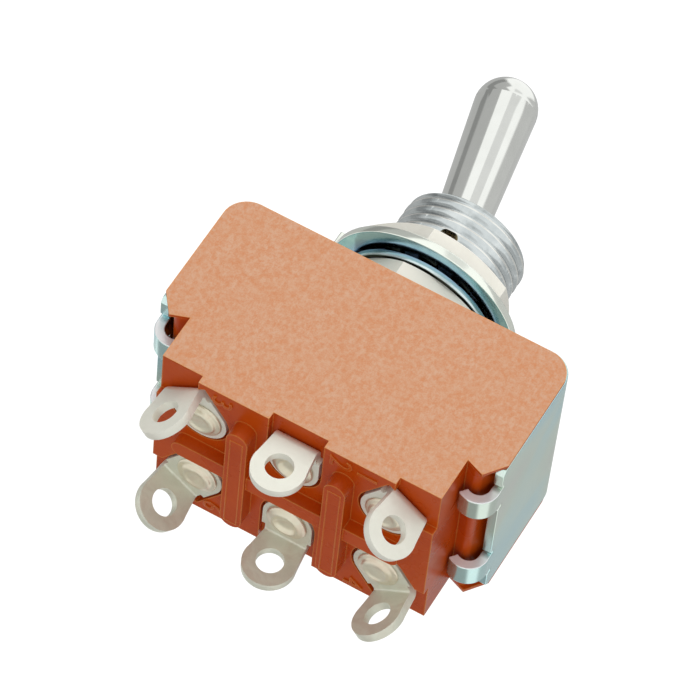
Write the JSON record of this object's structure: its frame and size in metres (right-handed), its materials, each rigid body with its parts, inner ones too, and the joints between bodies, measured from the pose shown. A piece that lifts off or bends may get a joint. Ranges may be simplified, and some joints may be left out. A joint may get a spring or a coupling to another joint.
{
  "type": "panel toggle switch",
  "caption": "Two-pole panel toggle switch with a bat lever, threaded bushing, steel frame, moulded case and solder lugs.",
  "frame": {"origin": "axis of the threaded bushing, on the top face of the steel frame, where the switch's body meets its nuts", "axes": "+Z along the bushing towards the lever, +X along the body towards terminals 1 and 4, +Y across the body towards the row of terminals 4 to 6"},
  "size_m": [0.0332, 0.0188, 0.0534],
  "materials": {
    "phenolic": "moulded, satin",
    "zinc_steel": "zinc plated, bright",
    "nickel": "nickel plated",
    "nut_metal": "nickel plated, satin",
    "silver_brass": "silver plated, dull",
    "contact_brass": "stamped, plain",
    "driver_plastic": "moulded, matte"
  },
  "bodies": {
    "switch_body": {"case": "phenolic", "frame": "zinc_steel", "bushing": "nickel", "pivot_pin": "zinc_steel", "jam_nut": "nut_metal", "tooth_washer": "zinc_steel", "locking_ring": "zinc_steel", "face_nut": "nut_metal", "lug_1": "silver_brass", "lug_2": "silver_brass", "lug_3": "silver_brass", "lug_4": "silver_brass", "lug_5": "silver_brass", "lug_6": "silver_brass", "rivet_1": "silver_brass", "rivet_2": "silver_brass", "rivet_3": "silver_brass", "rivet_4": "silver_brass", "rivet_5": "silver_brass", "rivet_6": "silver_brass", "contact_1": "silver_brass", "contact_3": "silver_brass", "contact_4": "silver_brass", "contact_6": "silver_brass", "fulcrum_front": "contact_brass", "fulcrum_back": "contact_brass"},
    "lever": {"lever": "nickel", "actuator": "driver_plastic", "spring_front": "zinc_steel", "spring_back": "zinc_steel"},
    "plunger_front": {"plunger_front": "contact_brass"},
    "plunger_back": {"plunger_back": "contact_brass"},
    "rocker_front": {"rocker_front": "contact_brass", "rocker_tips_front": "silver_brass"},
    "rocker_back": {"rocker_back": "contact_brass", "rocker_tips_back": "silver_brass"}
  },
  "joints": [
    {"name": "lever_tilt", "type": "hinge", "parent": "switch_body", "child": "lever", "pos_m": [0, 0, 0.007], "axis": [0, 1, 0], "range_deg": [0, 23]},
    {"name": "plunger_slide_front", "type": "slide", "parent": "lever", "child": "plunger_front", "axis": [-0.1994, 0, 0.9799], "range_m": [0, 0.0007], "stiffness_N_per_m": 400, "deforming": ["spring_front"]},
    {"name": "plunger_slide_back", "type": "slide", "parent": "lever", "child": "plunger_back", "axis": [-0.1994, 0, 0.9799], "range_m": [0, 0.0007], "stiffness_N_per_m": 400, "deforming": ["spring_back"]},
    {"name": "rocker_tilt_front", "type": "hinge", "parent": "switch_body", "child": "rocker_front", "pos_m": [0, -0.0044, -0.0116], "axis": [0, 1, 0], "range_deg": [-11, 0]},
    {"name": "rocker_tilt_back", "type": "hinge", "parent": "switch_body", "child": "rocker_back", "pos_m": [0, 0.0044, -0.0116], "axis": [0, 1, 0], "range_deg": [-11, 0]}
  ],
  "couplings": [
    {"joint": "rocker_tilt_front", "follows": "lever_tilt", "ratio": -0.47825},
    {"joint": "rocker_tilt_back", "follows": "lever_tilt", "ratio": -0.47825}
  ]
}
